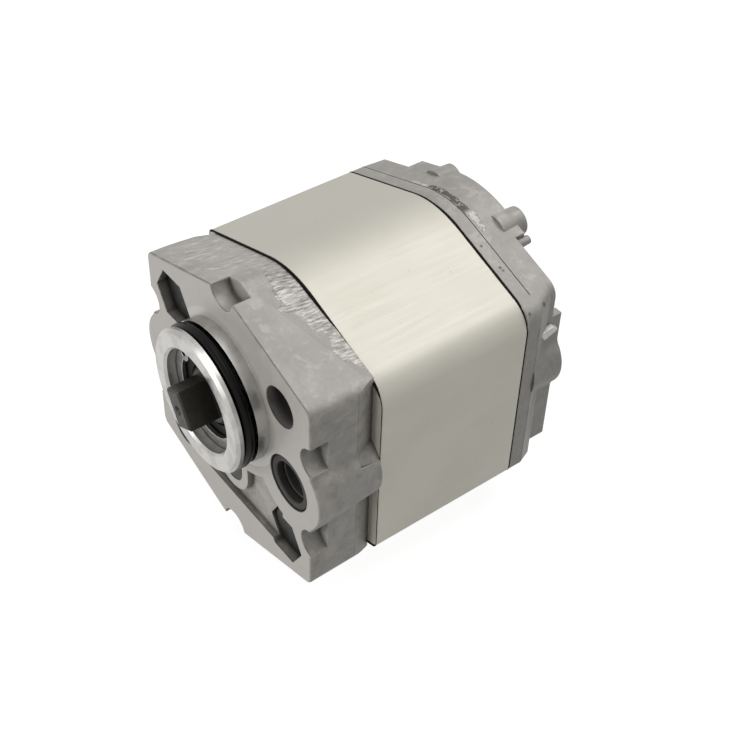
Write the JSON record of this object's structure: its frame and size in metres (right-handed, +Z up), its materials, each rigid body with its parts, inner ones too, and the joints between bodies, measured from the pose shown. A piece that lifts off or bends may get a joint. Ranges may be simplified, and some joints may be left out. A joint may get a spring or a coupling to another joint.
{
  "type": "hydraulic gear pump",
  "caption": "External gear pump with a turned pilot and drive tang on the front cover, a smooth drawn housing with rounded shoulders, and a cast rear cover.",
  "frame": {"origin": "on the drive shaft's axis, in the plane of the front cover's mounting face", "axes": "+Y runs back through the pump along the shaft, +Z is up from the driven gear to the drive gear, and the drive tang points along -Y"},
  "size_m": [0.075, 0.0906, 0.0797],
  "materials": {
    "cast_aluminium": "satin cast skin, with a milled band beside the seam",
    "drawn_aluminium": "fine satin, warm and pale",
    "bearing_alloy": "machined",
    "hardened_steel": "ground",
    "blackened_steel": "black oxide, satin, rubbed at the edges",
    "seal_steel": "pressed sheet",
    "spring_steel": "bright",
    "dark_steel": "dark oxide",
    "bronze": "turned",
    "black_rubber": "moulded, slightly glossy",
    "dark_rubber": "moulded, matt",
    "pale_plastic": "moulded"
  },
  "bodies": {
    "casing": {"front_cover": "cast_aluminium", "gear_housing": "drawn_aluminium", "rear_cover": "cast_aluminium", "front_bearing_block": "bearing_alloy", "rear_bearing_block": "bearing_alloy", "front_drive_bush": "bronze", "front_driven_bush": "bronze", "rear_drive_bush": "bronze", "rear_driven_bush": "bronze", "front_block_seal": "black_rubber", "rear_block_seal": "black_rubber", "front_back_up_ring": "pale_plastic", "rear_back_up_ring": "pale_plastic", "shaft_seal_case": "seal_steel", "shaft_seal_lip": "black_rubber", "shaft_seal_spring": "seal_steel", "seal_retaining_ring": "spring_steel", "pilot_o_ring": "black_rubber", "port_seal_ring": "dark_rubber", "front_housing_seal": "black_rubber", "rear_housing_seal": "black_rubber", "passage_seals": "black_rubber", "front_dowel_pins": "hardened_steel", "rear_dowel_pins": "hardened_steel", "assembly_bolts": "dark_steel", "assembly_nuts": "dark_steel"},
    "drive_shaft": {"drive_gear_shaft": "blackened_steel"},
    "driven_shaft": {"driven_gear_shaft": "hardened_steel"}
  },
  "joints": [
    {"name": "drive_spin", "type": "hinge", "parent": "casing", "child": "drive_shaft", "pos_m": [0, 0, 0], "axis": [0, 1, 0], "continuous": true},
    {"name": "driven_spin", "type": "hinge", "parent": "casing", "child": "driven_shaft", "pos_m": [0, 0, -0.0205], "axis": [0, 1, 0], "continuous": true}
  ],
  "couplings": [
    {"joint": "driven_spin", "follows": "drive_spin", "ratio": -1}
  ]
}
